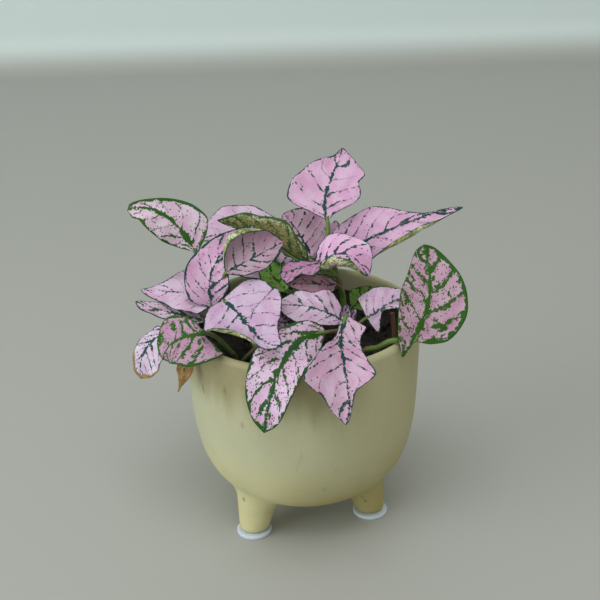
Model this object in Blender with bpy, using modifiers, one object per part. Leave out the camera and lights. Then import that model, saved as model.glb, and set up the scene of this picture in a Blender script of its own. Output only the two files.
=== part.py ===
import math

import bmesh
import bpy
import numpy as np

# Lengths are millimetres here and metres in the scene. Z is up, the table is at z 0.
MM = 0.001

# The axis of the pot stands a little off the origin, so that the whole plant is
# centred over it.
AXIS_X = 1.9
AXIS_Y = 3.5

# Pot: outer outline (radius, height), from the lip down to the middle of the bottom
POT_OUTER = [(49.0, 95.5), (50.3, 94.7), (50.8, 93.0), (50.4, 88.0), (49.9, 78.0), (49.4, 67.0),
             (48.8, 56.5), (47.6, 46.0), (45.3, 36.0), (41.2, 27.5), (34.0, 20.3), (24.0, 14.8),
             (12.0, 11.4), (0.0, 10.4)]
# Pot: inner outline, from the lip down
POT_INNER = [(48.4, 96.5), (47.7, 95.2), (47.2, 93.8), (46.9, 90.0), (46.5, 82.0), (44.8, 54.0),
             (42.6, 42.0), (38.4, 32.5), (30.0, 24.2), (16.0, 18.0), (0.0, 15.8)]
POT_STEPS = 48

# Feet: outline (radius, height), then for each foot its name, how far its tip is from
# the axis and its bearing from the front, turned towards the right
FOOT_OUTLINE = [(0.0, 2.1), (4.6, 2.1), (5.9, 2.7), (6.7, 4.0), (7.3, 7.0), (8.0, 11.0), (9.2, 15.0),
                (11.2, 19.0), (13.5, 24.0), (13.5, 27.0), (0.0, 27.0)]
FOOT_STEPS = 16
FOOT_LEAN = 0.22
FEET = [("left", 32.0, -48.0), ("right", 29.5, 72.0), ("back", 31.0, 192.0)]
PAD_RADIUS = 7.6
PAD_THICK = 1.8
PAD_STEPS = 24

# Soil: level, height of the low mound in its middle, gap to the pot
SOIL_LEVEL = 87.0
SOIL_MOUND = 1.2
SOIL_GAP = 0.3
STEM_GAP = 0.3

# Leaves: blade thickness, grid along and across, where along the rib the half widths of
# each side are taken, five of them or nine
BLADE = 0.7
ALONG = 9
ACROSS = 2
PETIOLE = 0.95
RIB_END = 0.5
CURL_SHARE = 0.8
STATIONS = (0.0, 0.1, 0.3, 0.5, 0.7, 0.9, 1.0)
CLOSE_STATIONS = (0.0, 0.05, 0.15, 0.28, 0.4, 0.52, 0.64, 0.76, 0.88, 0.96, 1.0)


# One leaf: the points of its petiole from the stem on, midrib points from base to tip,
# half widths left and right of the midrib, where the upper side faces, fold and edge
# curl of each half in degrees (one value, or five along the leaf), how far out the curl
# sits, edge wave, basal ear of each half
def leaf(petiole, rib, left, right, face, fold=(8, 8), curl=(0, 0), power=2.0, wave=0.6, ear=(0, 0)):
    return dict(petiole=petiole, rib=rib, half=(left, right), face=face, fold=fold, curl=curl,
                power=power, wave=wave, ear=ear)


# One stem or petiole: points and radii along it
def stalk(points, thick, thin):
    return dict(points=points, thick=thick, thin=thin)


# Tallest stem: broad top leaf, the long one to the right and the folded ones below
MAIN_STALKS = [
    stalk([(17, -5, 70), (18, -6, 95), (17, -5, 108), (14, -1, 118), (12, 3, 128), (12, 4.5, 133)],
          1.5, 1.0),
]
MAIN_LEAVES = [
    leaf([(12, 3, 128)], [(12, 5, 135), (11.5, 11, 143.5), (14.5, 16.5, 150.5), (19.5, 22, 161)],
         (1.5, 7, 16.2, 15.4, 13.3, 11, 7.5, 2.6, 1.2), (2.6, 9.5, 13.6, 14.6, 14, 12, 13.1, 7.6, 2.6),
         (-0.1, -0.8, 0.6), wave=0.9),
    leaf([(17, -5, 108), (11, 1, 113)],
         [(4, 4, 116.5), (-4, 6, 120), (-15.5, 8.5, 127), (-25, 9.5, 130.5), (-34, 10, 135)],
         (5, 7.5, 10.1, 11.6, 11.3, 9.4, 8.2, 6, 3), (4.5, 8.5, 8, 7, 4), (0, 0.1, 1), fold=(80, 84)),
    leaf([(14, -1, 118), (9, 5, 118)], [(5, 10, 117), (0.5, 13, 125.5), (-6.5, 15, 135)],
         (5.5, 10.5, 11, 8, 4), (5, 11.5, 13.5, 11.5, 6), (0.05, -0.75, 0.65)),
    leaf([(15.5, -3, 113), (13.5, 2, 116)],
         [(13, 6, 118), (33.5, 2, 129.5), (48, 3, 135), (68, 5, 139)],
         (9, 12, 13.2, 12.8, 9.8, 4.6, 1.5, 1.1, 0.8), (5, 11, 12, 9, 2.8), (0, -0.6, 0.8),
         curl=(0, (0, 30, 165, 175, 60)), power=4.0),
    leaf([(15.5, -3, 113), (11, -7, 117)], [(6.5, -8, 119.5), (18.5, -11, 126.5), (27.5, -14, 117.5)],
         (5, 10, 9, 9, 4.5), (6, 13, 14, 10, 4), (0, -0.55, 0.85), curl=(0, 165), power=2.5),
    leaf([(15.5, -3, 113), (11, -7, 119)], [(8, -9, 122.5), (0, -11, 121), (-8.5, -12, 119.5)],
         (4, 4.6, 5.2, 4.5, 3.1, 3.6, 5.6, 5.8, 3.6), (1, 1.6, 2.4, 3.5, 3.9, 4.1, 3.6, 2.7, 1.2),
         (0, -0.6, 0.8)),
    leaf([(17.5, -5.5, 104), (17, -7, 109)], [(15, -7.5, 111.5), (4.5, -11, 113.7), (-6, -12, 114.7)],
         (3, 4.8, 4.8, 4, 1.8), (3, 4.4, 4.4, 4, 1.6), (0, -0.7, 0.7)),
    leaf([(17.9, -5.8, 92), (19.5, -1, 94)], [(21.5, 5, 95), (27, 8, 98.5), (30.5, 10, 102.5)],
         (3, 6, 6, 4.5, 2), (3, 6, 6, 4.5, 2), (0, -0.5, 0.85)),
]

# Left stem: the large standing leaf, the cupped one, the pale ones that reach left
LEFT_STALKS = [
    stalk([(-26, -3, 70), (-27, -3, 92), (-30, -3, 104), (-31, -3, 114), (-33, -1.5, 118.5)], 1.4, 0.9),
]
LEFT_LEAVES = [
    leaf([(-33, -1.5, 118), (-38, -1, 120)],
         [(-43, 0, 124.5), (-46.5, 1.5, 131), (-52.5, 3, 138.5), (-61, 4.5, 143), (-70.5, 6, 142)],
         (1.4, 4.9, 8, 9.2, 9.4, 9, 7.7, 4.9, 3.8), (3.4, 8.5, 12, 11, 8.8, 6.3, 4.3, 3.2, 2.4),
         (-0.2, -0.75, 0.6)),
    leaf([(-28, -3, 97), (-34, -7, 100)], [(-37, -8, 103), (-37, -8, 116.5), (-18, 0, 136)],
         (9, 11.5, 9.5, 6.5, 2.5), (5, 9.5, 6.5, 3, 1.5), (-0.3, -0.85, 0.3)),
    leaf([(-31, -3, 113), (-31, -8, 115)], [(-30.5, -12, 120.5), (-20.5, -9, 124.5), (-6.5, -2, 129)],
         (10, 19, 18, 13, 5.5), (3.5, 7.5, 8.5, 6.5, 2.5), (0.1, -0.6, 0.7), fold=(28, 25),
         curl=((170, 190, 180, 150, 60), 0), power=3.6),
    leaf([(-29.5, -3, 102)], [(-33, -2, 105.5), (-49, 0, 106.5), (-67.5, 2, 107.5)],
         (5.5, 10.5, 9.5, 6.5, 3), (5, 10.5, 11, 5.5, 1.5), (-0.2, -0.5, 0.85)),
    leaf([(-27.2, -3, 93)], [(-41, -7, 96.5), (-51.5, -6.5, 99.5), (-62, -5, 102), (-69.5, -4, 105)],
         (3.5, 4.5, 4, 3.5, 2.5), (3, 4.5, 4, 3.5, 2), (-0.1, -0.4, 0.9)),
]

# Left front stem: the arched leaf over the rim, the pale hanging one, the dry one
LEFT_FRONT_STALKS = [
    stalk([(-26, -25, 70), (-27, -27, 87), (-28.2, -29, 92.5)], 1.3, 0.9),
]
LEFT_FRONT_LEAVES = [
    leaf([(-27.3, -27.4, 90)],
         [(-39.5, -29, 101.5), (-46.5, -30, 101), (-53, -28, 96.5), (-57, -27, 89.5)],
         (12, 15.5, 16.1, 14.3, 12.2, 10.2, 8.1, 6.2, 4.7),
         (6.3, 8.6, 10.4, 12.2, 13.9, 16, 16.5, 9.2, 3), (-0.1, -0.35, 0.93), fold=(0, 0), ear=(9, 0)),
    leaf([(-27.3, -27.4, 90), (-36, -20, 96), (-46, -15, 97.3)],
         [(-56, -12, 95), (-64, -14.5, 89.5), (-68.5, -13, 73.5)], (5, 10, 11.5, 10, 5),
         (4.5, 4.5, 5.5, 4.5, 4), (-0.5, -0.7, 0.5)),
    leaf([(-42, -27, 100.3), (-47, -27.5, 93)],
         [(-47.5, -28, 89.5), (-49, -29.5, 83), (-51.5, -30, 76)], (3.6, 3.4, 2.6, 1.3, 0.4),
         (3.6, 3.4, 2.4, 1.2, 0.4), (-0.2, -0.9, 0.3)),
]

# Centre stem: the largest leaf in front and the shaded one under it
CENTRE_STALKS = [
    stalk([(-26, -28, 70), (-25.5, -29, 87), (-19, -28, 94), (-13.5, -25.5, 101)], 1.2, 0.9),
    stalk([(-20.5, -33, 70), (-20.5, -33, 87), (-15.5, -29, 95), (-13.5, -25.5, 100.5)], 1.1, 0.9),
]
CENTRE_LEAVES = [
    leaf([(-19, -28, 94), (-25, -20, 102)],
         [(-32, -18, 111), (-26, -25, 108.5), (-20, -36, 105.9), (-8.5, -53, 107)],
         (11, 17, 18.5, 17.5, 14.5, 11, 8, 5, 3), (6, 13, 16, 14.5, 9.5, 6, 4.5, 3, 1.5),
         (-0.1, -0.45, 0.88), curl=(0, (0, 0, 150, 150, 0)), power=4.0, ear=(2, 4), wave=0.9),
    leaf([(-14.5, -26, 99.5)], [(-12.5, -24, 103.5), (-3, -25.5, 102.5), (6.5, -24, 98.5)],
         (3, 5, 5, 4, 2), (3, 6, 6.5, 5, 2.5), (0, -0.5, 0.85)),
]

# Front stem: the leaf that hangs over the front rim, the shaded one beside it, and
# the two glossy ones above
FRONT_STALKS = [
    stalk([(17, -20, 70), (17, -21, 88), (16, -26, 98), (15, -28, 101)], 1.4, 1.0),
]
FRONT_LEAVES = [
    leaf([(15.5, -27, 100)], [(9.5, -32, 102), (-6, -46, 100), (-13, -58, 88), (-16, -61, 74)],
         (7, 11.5, 10, 8.5, 5.5), (5.5, 9, 12, 10.5, 6), (-0.2, -0.85, 0.5)),
    leaf([(15.5, -27, 100), (17, -25.5, 104)],
         [(18, -27, 107), (15.5, -34, 102.5), (15, -43, 99.5), (16, -54, 95.5), (17, -61, 88),
          (15.5, -63.5, 78)],
         (9.5, 8.4, 7.9, 8.4, 9.8, 11.8, 2.8, 1.2, 0.8),
         (1.6, 1.6, 3.8, 8.4, 13.2, 17.4, 10.6, 7.1, 3.8), (0.1, -0.9, 0.45),
         fold=(8, (0, 38, 38, 10, 0)), wave=0.5),
    leaf([(16, -26, 98)], [(16.5, -22, 102), (1.5, -22, 108.8), (-10, -19.5, 108.3)],
         (4.5, 7, 9.5, 8.5, 4), (6, 10, 7.5, 7, 4), (0, -0.5, 0.85)),
    leaf([(16, -26, 98)], [(16.5, -23, 101), (18, -21.5, 105), (18, -21, 109.5)], (1.5, 2.5, 2.8, 2, 1),
         (1.5, 2.5, 2.8, 2, 1), (0, -0.85, 0.5), fold=(25, 25), wave=0),
    leaf([(16, -26, 98)], [(18, -24, 100.5), (20, -22, 104), (22, -21, 107)], (1.5, 2.4, 2.5, 2, 1),
         (1.5, 2.4, 2.5, 2, 1), (0, -0.85, 0.5), fold=(25, 25), wave=0),
    leaf([(16.5, -24, 94), (21, -21, 97.5)],
         [(26.5, -18, 101), (31.5, -16, 103), (37, -14, 105.5), (43, -12, 107), (49, -10, 108.5)],
         (9.2, 9.8, 10, 9.4, 8, 5.6, 3.5, 2, 1), (8, 4.4, 1.4, 2, 3.4, 4, 3.6, 2, 0.8), (0, -0.5, 0.85),
         fold=(8, (-20, -5, 0, 0, 8))),
]

# Right stem: the green-edged leaf at the far right on its bright green petiole
RIGHT_STALKS = [
    stalk([(25, -27, 70), (25, -28, 86), (24.6, -29, 91.5), (30.5, -31, 94), (35, -31.8, 97),
           (40, -31.2, 97)], 1.3, 1.1),
]
RIGHT_LEAVES = [
    leaf([(35, -31.8, 97), (40, -31.2, 97), (43, -30.6, 96.6)],
         [(45, -31.5, 96.5), (48, -28.5, 103), (51, -24, 109.5), (52.5, -16, 118.5), (50.5, -9, 129)],
         (2, 7.9, 11.3, 12.6, 11.9, 10.4, 8.6, 6.2, 3.8),
         (5.4, 12.8, 15.4, 16.3, 15.4, 13, 9.7, 6.3, 3.4), (0.1, -0.9, 0.35),
         fold=((14, 8, 8, 8, 8), 8), ear=(14, 2)),
]

# Bare reddish stalk at the right
BARE_STALKS = [
    stalk([(38, -14, 70), (38.5, -14, 88), (37.5, -12, 100)], 1.3, 1.0),
]

# Back stem: the pale leaf behind the left ones and the leaves on the far side
BACK_STALKS = [
    stalk([(-3, 12, 70), (-3, 13, 92), (-2, 14, 106), (0, 13.5, 114)], 1.4, 0.9),
]
BACK_LEAVES = [
    leaf([(-1, 13.5, 111), (-2, 14.5, 119)], [(-3, 16, 126), (-23, 20, 125.5), (-43, 20, 122.5)],
         (5, 10.5, 12, 10, 4.5), (4, 9, 13.5, 13.5, 7), (-0.1, -0.5, 0.85),
         curl=((0, 0, 60, 150, 150), 0), power=4.0),
    leaf([(-3, 13, 96), (-5, 8, 100)], [(-6, 5, 103), (-12, 8, 109.5), (-18.5, 10, 115.5)],
         (2.5, 6, 6.5, 5, 2), (2.5, 6, 6.5, 5, 2), (0, -0.5, 0.85)),
    leaf([(-2, 14, 103)], [(4, 18, 106.5), (12, 36, 110), (18, 54, 100)], (5, 11, 12, 9, 4),
         (5, 11, 12, 9, 4), (0.1, 0.4, 0.9)),
    leaf([(-2, 14, 101)], [(-7, 19, 105), (-15, 39, 107), (-22, 56, 96)], (5, 11, 12.5, 9, 4),
         (5, 11, 12, 9, 4), (-0.2, 0.4, 0.9)),
    leaf([(-2.5, 13.5, 98)], [(-12, 15, 103.5), (-28, 27, 107), (-42, 36, 102)], (4, 9, 10, 8, 3),
         (4, 9, 10, 8, 3), (-0.2, 0.1, 0.95)),
    leaf([(-0.5, 13.5, 112)], [(4.5, 16, 120), (8, 28, 124), (9, 40, 121)], (4, 9, 10, 7.5, 3),
         (4, 9, 10, 7.5, 3), (0.1, 0.2, 0.95)),
]


def clear_scene():
    for item in list(bpy.data.objects):
        bpy.data.objects.remove(item)


def collection(name):
    made = bpy.data.collections.new(name)
    bpy.context.scene.collection.children.link(made)
    return made


def principled(name, colour, roughness):
    made = bpy.data.materials.new(name)
    made.use_nodes = True
    shader = made.node_tree.nodes["Principled BSDF"]
    shader.inputs["Base Color"].default_value = (*colour, 1.0)
    shader.inputs["Roughness"].default_value = roughness
    made.diffuse_color = (*colour, 1.0)
    return made


def place(mesh, name, where):
    made = bpy.data.objects.new(name, mesh)
    where.objects.link(made)
    return made


def apply_modifiers(item):
    bpy.context.view_layer.update()
    graph = bpy.context.evaluated_depsgraph_get()
    mesh = bpy.data.meshes.new_from_object(item.evaluated_get(graph))
    item.modifiers.clear()
    item.data = mesh


def weld(mesh, distance=0.001):
    work = bmesh.new()
    work.from_mesh(mesh)
    bmesh.ops.remove_doubles(work, verts=work.verts, dist=distance * MM)
    bmesh.ops.recalc_face_normals(work, faces=work.faces)
    work.to_mesh(mesh)
    work.free()


# Solid of revolution about the z axis at (x, y) from an outline (radius, height)
def turned(name, outline, steps, where, x=0.0, y=0.0):
    mesh = bpy.data.meshes.new(name)
    points = [(radius * MM, 0.0, height * MM) for radius, height in outline]
    edges = [(i, i + 1) for i in range(len(points) - 1)]
    mesh.from_pydata(points, edges, [])
    item = place(mesh, name, where)
    screw = item.modifiers.new("turn", "SCREW")
    screw.steps = steps
    screw.render_steps = steps
    screw.use_merge_vertices = True
    screw.merge_threshold = 0.0001 * MM
    apply_modifiers(item)
    weld(item.data)
    for vertex in item.data.vertices:
        vertex.co.x += x * MM
        vertex.co.y += y * MM
    return item


# Removes the slivers that a union can leave beside the one main body
def drop_scraps(mesh):
    work = bmesh.new()
    work.from_mesh(mesh)
    bmesh.ops.remove_doubles(work, verts=work.verts, dist=0.0005 * MM)
    bmesh.ops.dissolve_degenerate(work, edges=work.edges, dist=0.0005 * MM)
    bmesh.ops.triangulate(work, faces=work.faces)
    left = set(work.faces)
    bodies = []
    while left:
        waiting = [left.pop()]
        body = []
        while waiting:
            face = waiting.pop()
            body.append(face)
            for edge in face.edges:
                if len(edge.link_faces) == 2:
                    for other in left.intersection(edge.link_faces):
                        left.remove(other)
                        waiting.append(other)
        bodies.append(body)
    bodies.sort(key=len)
    scraps = [face for body in bodies[:-1] for face in body]
    bmesh.ops.delete(work, geom=scraps, context="FACES")
    work.to_mesh(mesh)
    work.free()


def boolean(item, operation, others, solver="EXACT"):
    group = collection("operands")
    for other in others:
        for owner in list(other.users_collection):
            owner.objects.unlink(other)
        group.objects.link(other)
    step = item.modifiers.new("combine", "BOOLEAN")
    step.operation = operation
    step.operand_type = "COLLECTION"
    step.collection = group
    step.solver = solver
    apply_modifiers(item)
    for other in others:
        bpy.data.objects.remove(other)
    bpy.data.collections.remove(group)


def finish(item, material):
    item.data.materials.clear()
    item.data.materials.append(material)
    for vertex in item.data.vertices:
        vertex.co.x += AXIS_X * MM
        vertex.co.y += AXIS_Y * MM


# Smooth curve through a few points, at the given parameters from 0 to 1
def through(points, at):
    points = np.asarray(points, float)
    knots = np.concatenate([[0.0], np.cumsum(np.linalg.norm(np.diff(points, axis=0), axis=1))])
    knots /= knots[-1]
    result = np.zeros((len(at), points.shape[1]))
    for i, point in enumerate(points):
        weight = np.ones(len(at))
        for j in range(len(points)):
            if j != i:
                weight = weight * (at - knots[j]) / (knots[i] - knots[j])
        result += np.outer(weight, point)
    return result


# Half width along a leaf: a smooth line through the stations that never overshoots
def half_width(widths, at):
    x = np.array(STATIONS if len(widths) == 5 else CLOSE_STATIONS)
    y = np.array([0.3, *widths, 0.3])
    step = np.diff(x)
    slope = np.diff(y) / step
    tangent = np.zeros(len(x))
    for i in range(1, len(x) - 1):
        if slope[i - 1] * slope[i] > 0:
            a = 2 * step[i] + step[i - 1]
            b = step[i] + 2 * step[i - 1]
            tangent[i] = (a + b) / (a / slope[i - 1] + b / slope[i])
    tangent[0] = slope[0] * 1.3
    tangent[-1] = slope[-1] * 1.3
    i = np.clip(np.searchsorted(x, at, side="right") - 1, 0, len(step) - 1)
    h = step[i]
    u = (at - x[i]) / h
    return (y[i] * (1 + 2 * u) * (1 - u) ** 2 + tangent[i] * h * u * (1 - u) ** 2
            + y[i + 1] * u ** 2 * (3 - 2 * u) + tangent[i + 1] * h * u ** 2 * (u - 1))


# A value given once, or at the five inner stations, spread along the leaf
def along_leaf(value, at):
    if isinstance(value, (int, float)):
        return np.full(len(at), float(value))
    return np.interp(at, STATIONS[1:-1], value)


def unit(vector):
    vector = np.asarray(vector, float)
    return vector / np.linalg.norm(vector)


# Middle surface of a leaf as rows of points across it, left margin to right margin
def leaf_rows(shape, along, across):
    at = np.linspace(0.0, 1.0, along + 1)
    centre = through(shape["rib"], at)
    ahead = through(shape["rib"], np.clip(at + 0.001, 0, 1))
    ahead = ahead - through(shape["rib"], np.clip(at - 0.001, 0, 1))
    ahead /= np.linalg.norm(ahead, axis=1)[:, None]
    face = unit(shape["face"])
    up = face - (ahead @ face)[:, None] * ahead
    up /= np.linalg.norm(up, axis=1)[:, None]
    side = np.cross(ahead, up)
    rows = np.zeros((along + 1, 2 * across + 1, 3))
    fine = 12
    for hand, sign in ((0, -1), (1, 1)):
        width = half_width(shape["half"][hand], at)
        share = width / max(shape["half"][hand])
        back = shape["ear"][hand] * np.clip(1 - at / 0.35, 0, 1) ** 1.5 * np.minimum(1, at / 0.06)
        out = np.linspace(0.0, 1.0, across * fine + 1)
        fold = np.radians(along_leaf(shape["fold"][hand], at))
        curl = np.radians(along_leaf(shape["curl"][hand], at)) * CURL_SHARE
        bend = fold[:, None] + curl[:, None] * out ** shape["power"]
        middle = (bend[:, 1:] + bend[:, :-1]) / 2
        start = np.zeros((along + 1, 1))
        flat = np.hstack([start, np.cumsum(np.cos(middle), axis=1)]) / (across * fine)
        rise = np.hstack([start, np.cumsum(np.sin(middle), axis=1)]) / (across * fine)
        for j in range(across + 1):
            reach = j / across
            ripple = shape["wave"] * np.sin(6 * math.pi * at + 1.3 * hand) * reach ** 2 * share
            rows[:, across + sign * j] = (
                centre + side * (sign * width * flat[:, j * fine])[:, None]
                + up * (width * rise[:, j * fine] + ripple)[:, None]
                - ahead * (back * reach ** 2)[:, None])
    return rows


# Thin closed blade: the middle surface in triangles, thickened the same way on both sides
def blade(name, shape, where):
    long = np.linalg.norm(np.array(shape["rib"][-1]) - np.array(shape["rib"][0]))
    along = ALONG if long > 18 else 6
    across = ACROSS + 1 if max(np.max(value) for value in shape["curl"]) > 60 else ACROSS
    rows = leaf_rows(shape, along, across)
    count = 2 * across + 1
    points = [tuple(point * MM) for row in rows for point in row]
    faces = []
    for i in range(along):
        for j in range(2 * across):
            a = i * count + j
            b = a + 1
            c = a + count
            d = c + 1
            if j < across:
                faces += [(a, b, d), (a, d, c)]
            else:
                faces += [(a, b, c), (b, d, c)]
    mesh = bpy.data.meshes.new(name)
    mesh.from_pydata(points, [], faces)
    item = place(mesh, name, where)
    thick = item.modifiers.new("thick", "SOLIDIFY")
    thick.thickness = BLADE * MM
    thick.offset = 0.0
    apply_modifiers(item)
    weld(item.data)
    return item


# Round stalk along a smooth line, thick at its foot and thin at its end
def round_stalk(name, shape, where):
    points = np.array(shape["points"], float)
    count = round(1.5 * (len(points) - 1)) + 1
    at = np.linspace(0.0, 1.0, count)
    knots = np.concatenate([[0.0], np.cumsum(np.linalg.norm(np.diff(points, axis=0), axis=1))])
    knots /= knots[-1]
    line = np.stack([smooth_line(knots, points[:, k], at) for k in range(3)], axis=1)
    curve = bpy.data.curves.new(name, "CURVE")
    curve.dimensions = "3D"
    curve.bevel_depth = 1.0
    curve.bevel_resolution = 1
    curve.use_fill_caps = True
    spline = curve.splines.new("POLY")
    spline.points.add(count - 1)
    for k in range(count):
        spline.points[k].co = (*(line[k] * MM), 1.0)
        spline.points[k].radius = (shape["thick"] + (shape["thin"] - shape["thick"]) * at[k]) * MM
    item = bpy.data.objects.new(name, curve)
    where.objects.link(item)
    bpy.context.view_layer.update()
    graph = bpy.context.evaluated_depsgraph_get()
    mesh = bpy.data.meshes.new_from_object(item.evaluated_get(graph))
    bpy.data.objects.remove(item)
    weld(mesh)
    return place(mesh, name, where)


# Cubic line through values at knots, with tangents from the neighbours
def smooth_line(knots, values, at):
    tangent = np.gradient(values, knots)
    i = np.clip(np.searchsorted(knots, at, side="right") - 1, 0, len(knots) - 2)
    h = knots[i + 1] - knots[i]
    u = (at - knots[i]) / h
    return (values[i] * (1 + 2 * u) * (1 - u) ** 2 + tangent[i] * h * u * (1 - u) ** 2
            + values[i + 1] * u ** 2 * (3 - 2 * u) + tangent[i + 1] * h * u ** 2 * (u - 1))


# A leafy stem: its stalks and leaves fused into one body
def leafy_stem(name, stalks, leaves, material, where):
    pieces = [round_stalk(f"{name}_stalk{k}", shape, where) for k, shape in enumerate(stalks)]
    for k, shape in enumerate(leaves):
        joined = [*shape["petiole"], *through(shape["rib"], np.array([0.0, 0.1, 0.22, 0.34]))]
        pieces.append(round_stalk(f"{name}_petiole{k}", stalk(joined, PETIOLE, RIB_END), where))
    pieces += [blade(f"{name}_leaf{k}", shape, where) for k, shape in enumerate(leaves)]
    item = pieces[0]
    if len(pieces) > 1:
        boolean(item, "UNION", pieces[1:], "MANIFOLD")
        drop_scraps(item.data)
    item.name = name
    finish(item, material)
    return item


clear_scene()
plant = collection("potted_polka_dot_plant")
cutters = collection("cutters")
cutters.hide_render = True

# Pot: turned shell and three feet in one piece, hollowed last
ceramic = principled("ceramic_olive", (0.46, 0.44, 0.27), 0.55)
pot = turned("pot", [(0.0, POT_OUTER[0][1]), *POT_OUTER], POT_STEPS, plant)
feet = []
pads = []
for name, ring, bearing in FEET:
    turn = math.radians(bearing)
    x = ring * math.sin(turn)
    y = -ring * math.cos(turn)
    foot = turned(f"foot_{name}", FOOT_OUTLINE, FOOT_STEPS, plant, x, y)
    for vertex in foot.data.vertices:
        inward = FOOT_LEAN * (vertex.co.z - 2.1 * MM)
        vertex.co.x -= inward * math.sin(turn)
        vertex.co.y += inward * math.cos(turn)
    feet.append(foot)
    pads.append((name, x, y))
boolean(pot, "UNION", feet)
hollow = turned("hollow", [(0.0, POT_INNER[0][1]), *POT_INNER], POT_STEPS, cutters)
hollow.display_type = "WIRE"
boolean(pot, "DIFFERENCE", [hollow])
finish(pot, ceramic)

# Pads under the feet
silicone = principled("pad_silicone", (0.62, 0.68, 0.72), 0.4)
for name, x, y in pads:
    outline = [(0.0, PAD_THICK), (PAD_RADIUS - 0.4, PAD_THICK), (PAD_RADIUS, PAD_THICK - 0.4),
               (PAD_RADIUS, 0.3), (PAD_RADIUS - 0.3, 0.0), (0.0, 0.0)]
    pad = turned(f"pad_{name}", outline, PAD_STEPS, plant, x, y)
    finish(pad, silicone)

# Leafy stems
foliage = principled("leaf_pink", (0.55, 0.30, 0.45), 0.45)
bark = principled("stalk_reddish", (0.20, 0.09, 0.07), 0.6)
STEMS = [
    ("stem_main", MAIN_STALKS, MAIN_LEAVES, foliage),
    ("stem_left", LEFT_STALKS, LEFT_LEAVES, foliage),
    ("stem_left_front", LEFT_FRONT_STALKS, LEFT_FRONT_LEAVES, foliage),
    ("stem_centre", CENTRE_STALKS, CENTRE_LEAVES, foliage),
    ("stem_front", FRONT_STALKS, FRONT_LEAVES, foliage),
    ("stem_right", RIGHT_STALKS, RIGHT_LEAVES, foliage),
    ("stem_back", BACK_STALKS, BACK_LEAVES, foliage),
    ("stalk_bare", BARE_STALKS, [], bark),
]
for name, stalks, leaves, material in STEMS:
    leafy_stem(name, stalks, leaves, material, plant)

# Soil: fills the pot below the lip, with a plain hole for every stem that stands in it
earth = principled("soil_dark", (0.03, 0.025, 0.02), 0.95)
inside = [(radius - SOIL_GAP, height + SOIL_GAP) for radius, height in POT_INNER if height < SOIL_LEVEL - 3]
inside[-1] = (0.0, POT_INNER[-1][1] + SOIL_GAP)
rim = np.interp(SOIL_LEVEL, [82.0, 90.0], [46.5, 46.9]) - SOIL_GAP
top = [(0.0, SOIL_LEVEL + SOIL_MOUND), (16.0, SOIL_LEVEL + 0.9 * SOIL_MOUND),
       (32.0, SOIL_LEVEL + 0.5 * SOIL_MOUND), (rim - 1.5, SOIL_LEVEL), (rim, SOIL_LEVEL - 0.8)]
soil = turned("soil", top + inside, POT_STEPS, plant)
holes = []
for name, stalks, leaves, material in STEMS:
    for k, shape in enumerate(stalks):
        hole = dict(shape)
        first = np.array(shape["points"][0], float)
        hole["points"] = [tuple(first - (0, 0, STEM_GAP)), *shape["points"][1:]]
        hole["thick"] = shape["thick"] + STEM_GAP
        hole["thin"] = shape["thin"] + STEM_GAP
        holes.append(round_stalk(f"hole_{name}_{k}", hole, cutters))
boolean(soil, "DIFFERENCE", holes)
drop_scraps(soil.data)
finish(soil, earth)

bpy.data.collections.remove(cutters)
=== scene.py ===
import math
import random

import bpy
import numpy as np
from mathutils import Matrix, Vector, noise


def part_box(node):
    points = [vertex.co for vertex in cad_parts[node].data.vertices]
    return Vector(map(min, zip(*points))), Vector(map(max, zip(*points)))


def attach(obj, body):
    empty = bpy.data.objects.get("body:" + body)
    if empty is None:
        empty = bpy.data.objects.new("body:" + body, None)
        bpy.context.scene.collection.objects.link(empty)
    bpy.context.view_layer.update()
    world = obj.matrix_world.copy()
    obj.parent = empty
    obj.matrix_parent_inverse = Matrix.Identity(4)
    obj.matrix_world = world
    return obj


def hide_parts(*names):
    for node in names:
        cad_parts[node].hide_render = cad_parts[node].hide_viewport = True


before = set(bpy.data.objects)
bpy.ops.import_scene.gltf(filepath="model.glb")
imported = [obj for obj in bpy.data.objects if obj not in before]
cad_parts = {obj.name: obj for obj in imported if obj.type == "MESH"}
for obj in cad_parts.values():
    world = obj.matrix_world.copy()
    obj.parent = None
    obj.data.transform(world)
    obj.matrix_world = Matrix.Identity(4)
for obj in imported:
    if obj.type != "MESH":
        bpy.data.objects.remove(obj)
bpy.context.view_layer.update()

# Lengths in the tables below are millimetres from the pot's axis and from the table.
MM = 0.001
pot_low, pot_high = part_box("pot")
AXIS = ((pot_low + pot_high) / 2).to_2d()


# Camera: level with a person who sits at the table and looks a little down at the pot.
# It was placed so that the rim's ellipse and the feet fall where the photograph has them.
CAMERA_PLACE = (-0.5, -479.0, 326.0)
CAMERA_PITCH = 25.1
CAMERA_ROLL = -1.8
CAMERA_LENS = 50
SENSOR = 24


# A place of the tables, in the model's own frame
def placed(x, y, z):
    return Vector((x * MM + AXIS.x, y * MM + AXIS.y, z * MM))


bpy.ops.object.camera_add()
camera = bpy.context.object
camera.name = "camera"
camera.data.sensor_width = SENSOR
camera.data.lens = CAMERA_LENS
camera.data.clip_start = 0.01
camera.location = placed(*CAMERA_PLACE)
pitch = Matrix.Rotation(math.radians(90 - CAMERA_PITCH), 3, "X")
roll = Matrix.Rotation(math.radians(CAMERA_ROLL), 3, "Z")
camera.rotation_euler = (pitch @ roll).to_euler()
bpy.context.scene.camera = camera
bpy.context.scene.view_settings.view_transform = "Standard"


# Floor and backdrop: one pale sheet that lies under the pot and rises behind it, as in a
# studio. It is a plane whose far edge is extruded upwards, with the corner rounded, and it
# is cooler and paler where it rises.
FLOOR_HALF = 1.6
FLOOR_BACK = 0.80
FLOOR_RISE = 1.0
CORNER_WIDTH = 0.04
CORNER_STEPS = 8
FLOOR_PALE = (0.424, 0.435, 0.407)
BACKDROP_PALE = (0.732, 0.85, 0.85)


def deselect():
    bpy.ops.object.select_all(action="DESELECT")


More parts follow.
